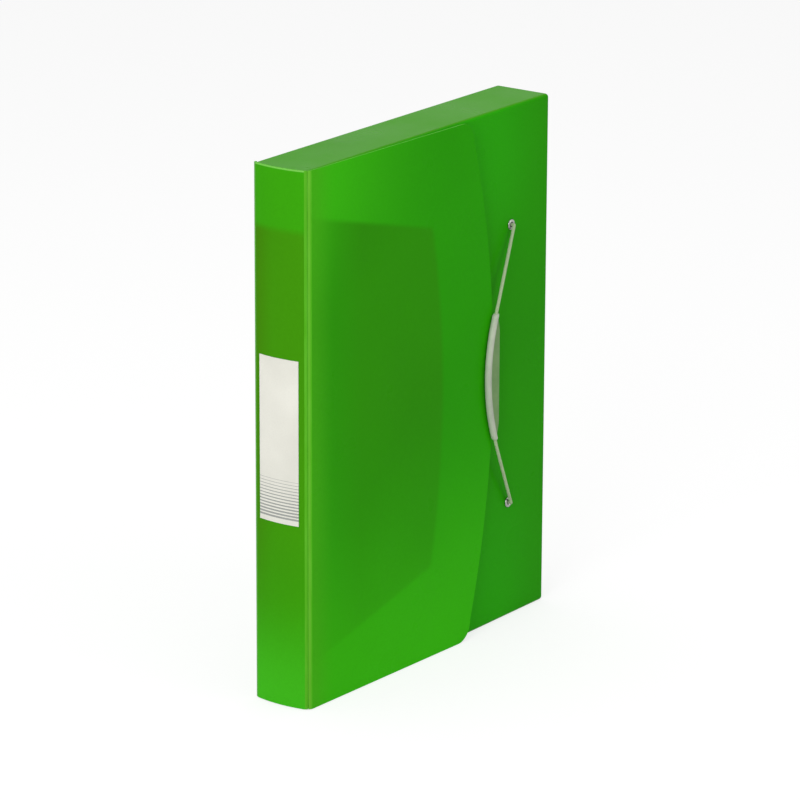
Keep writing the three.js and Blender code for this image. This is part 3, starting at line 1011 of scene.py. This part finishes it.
def make_grip():
    half = GRIP_LENGTH / 2
    bore = CORD_RADIUS + GRIP_BORE_GAP
    rings = []
    shades = []
    for i in range(GRIP_RINGS + 1):
        share = math.sin(math.pi * (i / GRIP_RINGS - 0.5))
        z = share * half
        from_end = half - abs(z)
        radius = GRIP_RADIUS
        if from_end < GRIP_NOSE:
            radius = bore + (GRIP_RADIUS - bore) * math.sqrt(1 - (1 - from_end / GRIP_NOSE) ** 2)
        section = grip_section(radius, web_reach(z) + grip_bow(share))
        middle = GRIP_X - grip_bow(share)
        rings.append([at(middle + x, grip_depth() + y, GRIP_MIDDLE + z) for x, y, thin in section])
        shades.extend(thin for x, y, thin in section)
    piece = lofted("finger_grip", rings, (GRIP_LOOK,))
    layer = piece.data.attributes.new("thin", "FLOAT", "POINT")
    layer.data.foreach_set("value", shades)
    piece.data.set_sharp_from_angle(angle=math.radians(SMALL_PART_SHARP))
    settle(piece, "closure", ["elastic_grip"])


def dress_tray():
    """The folded and welded tray keeps its CAD shape."""
    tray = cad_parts["tray"]
    tray.data.materials.clear()
    tray.data.materials.append(TRAY_LOOK)
    tray.data.shade_smooth()
    tray.data.set_sharp_from_angle(angle=math.radians(TRAY_SHARP))


# Studio

def seen_rays(tree):
    """One for camera, glossy and transmission rays, nought for the light on the object."""
    path = tree.nodes.new("ShaderNodeLightPath")
    total = path.outputs["Is Camera Ray"]
    for name in ("Is Glossy Ray", "Is Transmission Ray"):
        joined = tree.nodes.new("ShaderNodeMath")
        joined.operation = "MAXIMUM"
        tree.links.new(total, joined.inputs[0])
        tree.links.new(path.outputs[name], joined.inputs[1])
        total = joined.outputs[0]
    return total


def light_world():
    world = bpy.data.worlds.new("studio")
    bpy.context.scene.world = world
    world.use_nodes = True
    tree = world.node_tree
    background = tree.nodes["Background"]
    background.inputs["Color"].default_value = (1, 1, 1, 1)
    strength = tree.nodes.new("ShaderNodeMapRange")
    tree.links.new(seen_rays(tree), strength.inputs["Value"])
    strength.inputs["To Min"].default_value = AMBIENT
    strength.inputs["To Max"].default_value = 1
    tree.links.new(strength.outputs["Result"], background.inputs["Strength"])


def floor_look():
    material = bpy.data.materials.new("studio_floor")
    material.use_nodes = True
    tree = material.node_tree
    tree.nodes.remove(tree.nodes["Principled BSDF"])
    diffuse = tree.nodes.new("ShaderNodeBsdfDiffuse")
    diffuse.inputs["Color"].default_value = (FLOOR_GREY, FLOOR_GREY, FLOOR_GREY, 1)
    white = tree.nodes.new("ShaderNodeEmission")
    white.inputs["Strength"].default_value = FLOOR_GLOW
    share = tree.nodes.new("ShaderNodeMath")
    share.operation = "MULTIPLY"
    share.inputs[1].default_value = FLOOR_GLOW_SHARE
    tree.links.new(seen_rays(tree), share.inputs[0])
    mix = tree.nodes.new("ShaderNodeMixShader")
    tree.links.new(share.outputs[0], mix.inputs[0])
    tree.links.new(diffuse.outputs[0], mix.inputs[1])
    tree.links.new(white.outputs[0], mix.inputs[2])
    tree.links.new(mix.outputs[0], tree.nodes["Material Output"].inputs["Surface"])
    return material


def make_floor():
    half = FLOOR_HALF
    corners = [(-half, -half, 0), (half, -half, 0), (half, half, 0), (-half, half, 0)]
    floor = new_piece("floor", corners, [(0, 1, 2, 3)], (floor_look(),))


def add_lamp(name, place, size, watts):
    lamp = bpy.data.lights.new(name, "AREA")
    lamp.shape = "SQUARE"
    lamp.size = size
    lamp.energy = watts
    piece = bpy.data.objects.new(name, lamp)
    bpy.context.scene.collection.objects.link(piece)
    aim = Vector((0, 0, MIDDLE_HEIGHT * MM)) - Vector(place)
    piece.location = place
    piece.rotation_euler = aim.to_track_quat("-Z", "Y").to_euler()


def make_camera():
    azimuth = math.radians(CAMERA_AZIMUTH)
    elevation = math.radians(CAMERA_ELEVATION)
    roll = math.radians(CAMERA_ROLL)
    level = Vector((math.cos(azimuth), math.sin(azimuth), 0))
    back = Vector((
        math.sin(azimuth) * math.cos(elevation),
        -math.cos(azimuth) * math.cos(elevation),
        math.sin(elevation),
    ))
    rise = back.cross(level)
    right = level * math.cos(roll) + rise * math.sin(roll)
    up = rise * math.cos(roll) - level * math.sin(roll)
    aim = Vector((0, 0, MIDDLE_HEIGHT * MM)) + right * CAMERA_AIM_RIGHT + up * CAMERA_AIM_UP
    data = bpy.data.cameras.new("camera")
    data.lens = CAMERA_LENS
    data.sensor_width = CAMERA_SENSOR
    camera = bpy.data.objects.new("camera", data)
    bpy.context.scene.collection.objects.link(camera)
    turn = Matrix((right, up, back)).transposed().to_4x4()
    camera.matrix_world = Matrix.Translation(aim + back * CAMERA_DISTANCE) @ turn
    bpy.context.scene.camera = camera


dress_tray()
make_spine()
make_cover()
make_webs()
make_label()
for side, height in EYELET_HEIGHTS.items():
    make_eyelet(side, height)
    make_stop(side, height)
    make_tail(side, height)
make_cord()
make_grip()

make_camera()
make_floor()
light_world()
for name, (place, size, watts) in LAMPS.items():
    add_lamp(name, place, size, watts)
bpy.context.scene.view_settings.view_transform = "Standard"
